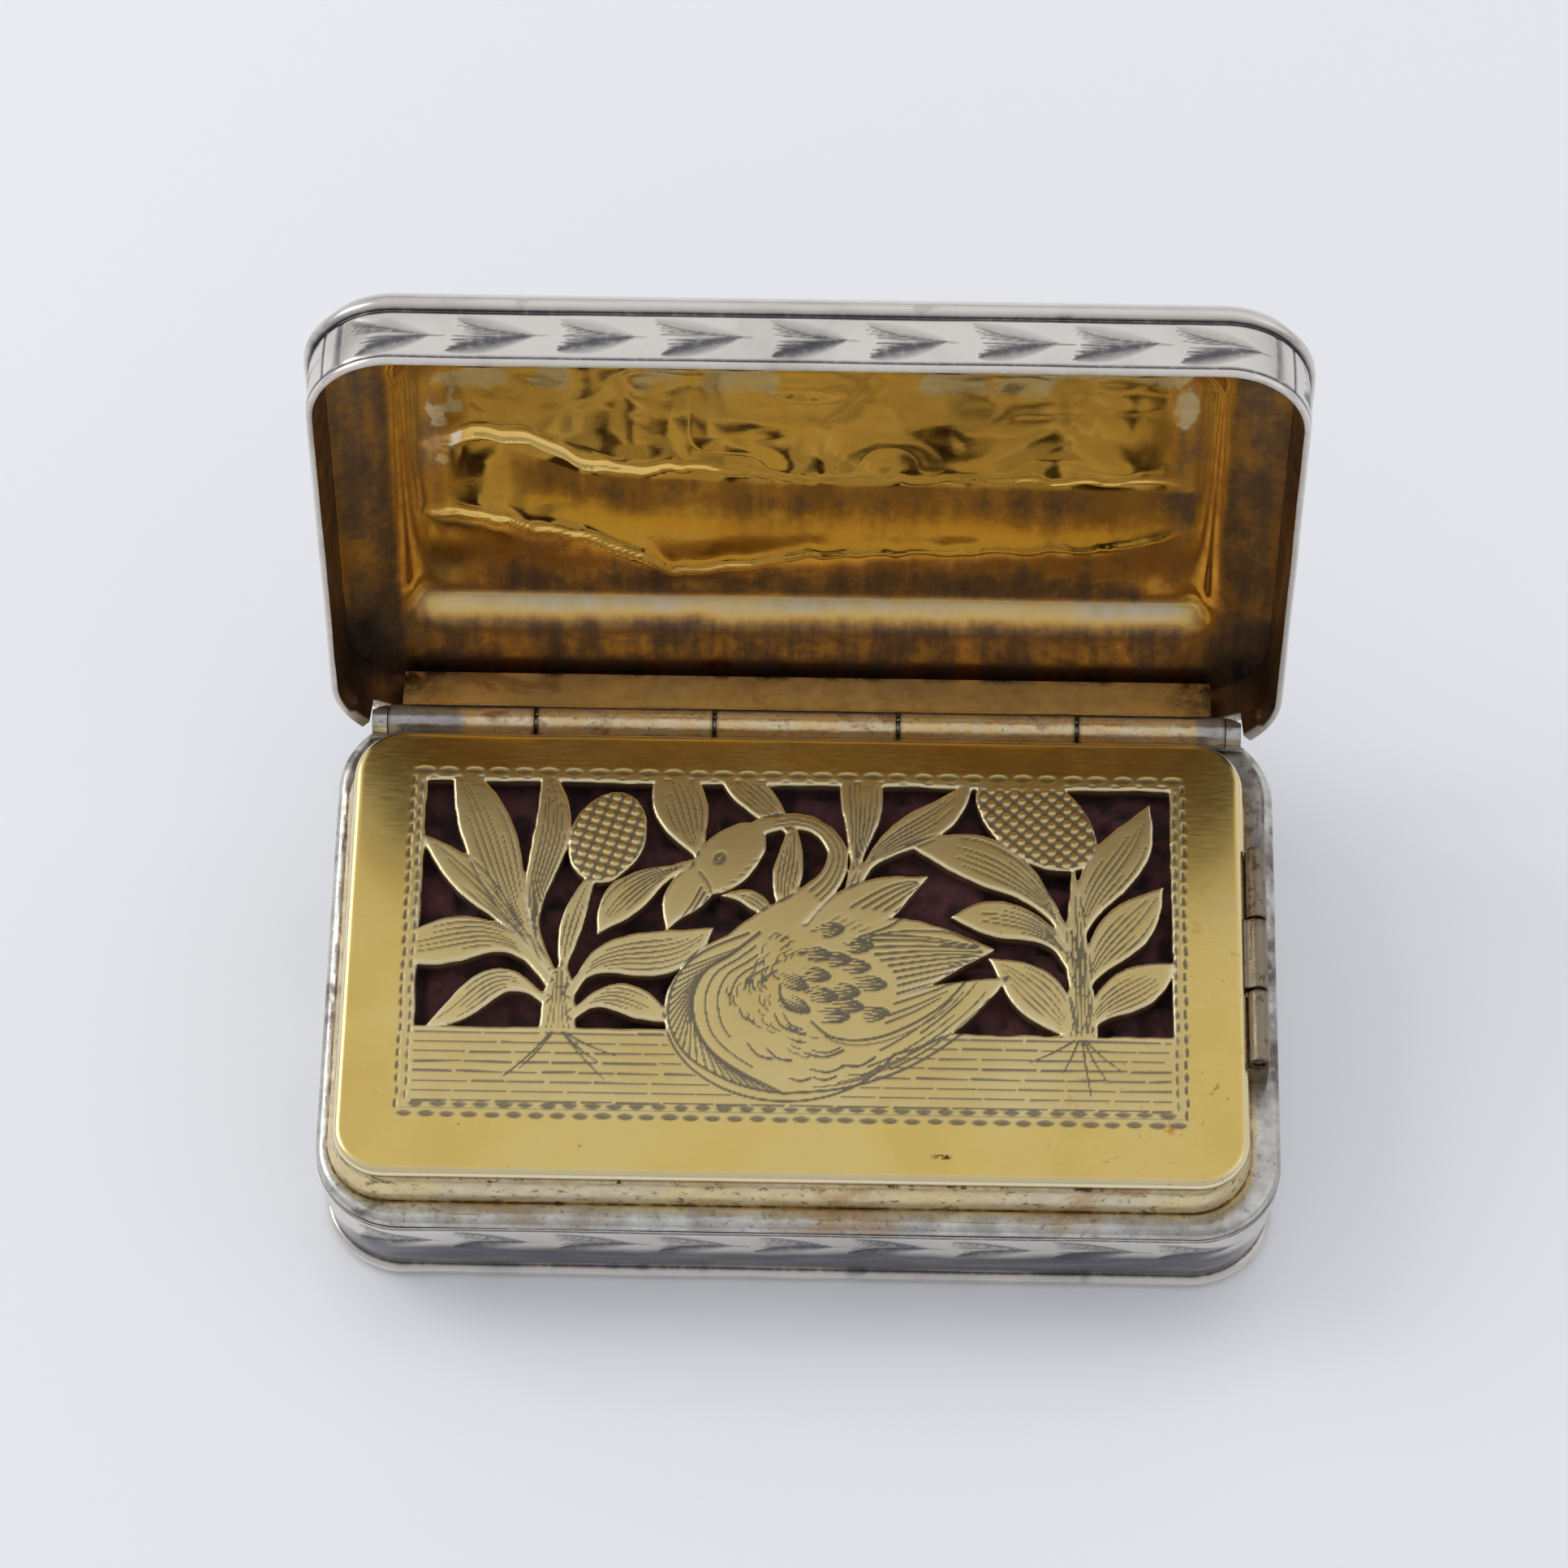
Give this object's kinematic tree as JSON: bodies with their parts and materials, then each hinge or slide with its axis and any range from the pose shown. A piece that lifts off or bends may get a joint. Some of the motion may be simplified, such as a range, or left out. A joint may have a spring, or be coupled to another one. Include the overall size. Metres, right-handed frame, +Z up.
{
  "type": "vinaigrette",
  "caption": "Small rectangular silver box, gilt inside, with a hinged lid and a pierced hinged grille that holds a scented sponge in the base.",
  "frame": {"origin": "centre of the flat underside", "axes": "+X along the long sides towards the grille hinge, +Y towards the lid hinge, +Z up"},
  "size_m": [0.0386, 0.0292, 0.0277],
  "materials": {
    "silver": "polished silver with tarnish in the engraving",
    "bezel_gilt": "worn gilding on silver",
    "worn_gilt": "worn and tarnished gilding",
    "lid_gilt": "gilding with brown tarnish",
    "grille_gilt": "polished gilding, engraved",
    "pin_steel": "drawn wire",
    "sponge": "dark stained sponge"
  },
  "bodies": {
    "base": {"base_plate": "silver", "base_wall": "silver", "base_thread": "silver", "base_rim_ledge": "silver", "bezel": "bezel_gilt", "base_hinge_bearer": "bezel_gilt", "base_knuckles": "worn_gilt", "lid_hinge_pin": "pin_steel", "hinge_end_plugs": "silver", "grille_hinge_bearer": "bezel_gilt", "grille_outer_knuckles": "bezel_gilt", "grille_hinge_pin": "pin_steel", "sponge": "sponge"},
    "lid": {"lid_wall": "silver", "lid_thread": "silver", "lid_top": "lid_gilt", "lid_hinge_bearer": "lid_gilt", "lid_knuckles": "worn_gilt"},
    "grille": {"grille_plate": "grille_gilt", "grille_knuckle": "grille_gilt"}
  },
  "joints": [
    {"name": "lid_hinge", "type": "hinge", "parent": "base", "child": "lid", "pos_m": [0, 0.0106, 0.006], "axis": [-1, 0, 0], "range_deg": [-100, 0]},
    {"name": "grille_hinge", "type": "hinge", "parent": "base", "child": "grille", "pos_m": [0.0179, 0, 0.007], "axis": [0, 1, 0], "range_deg": [0, 2.5]}
  ]
}
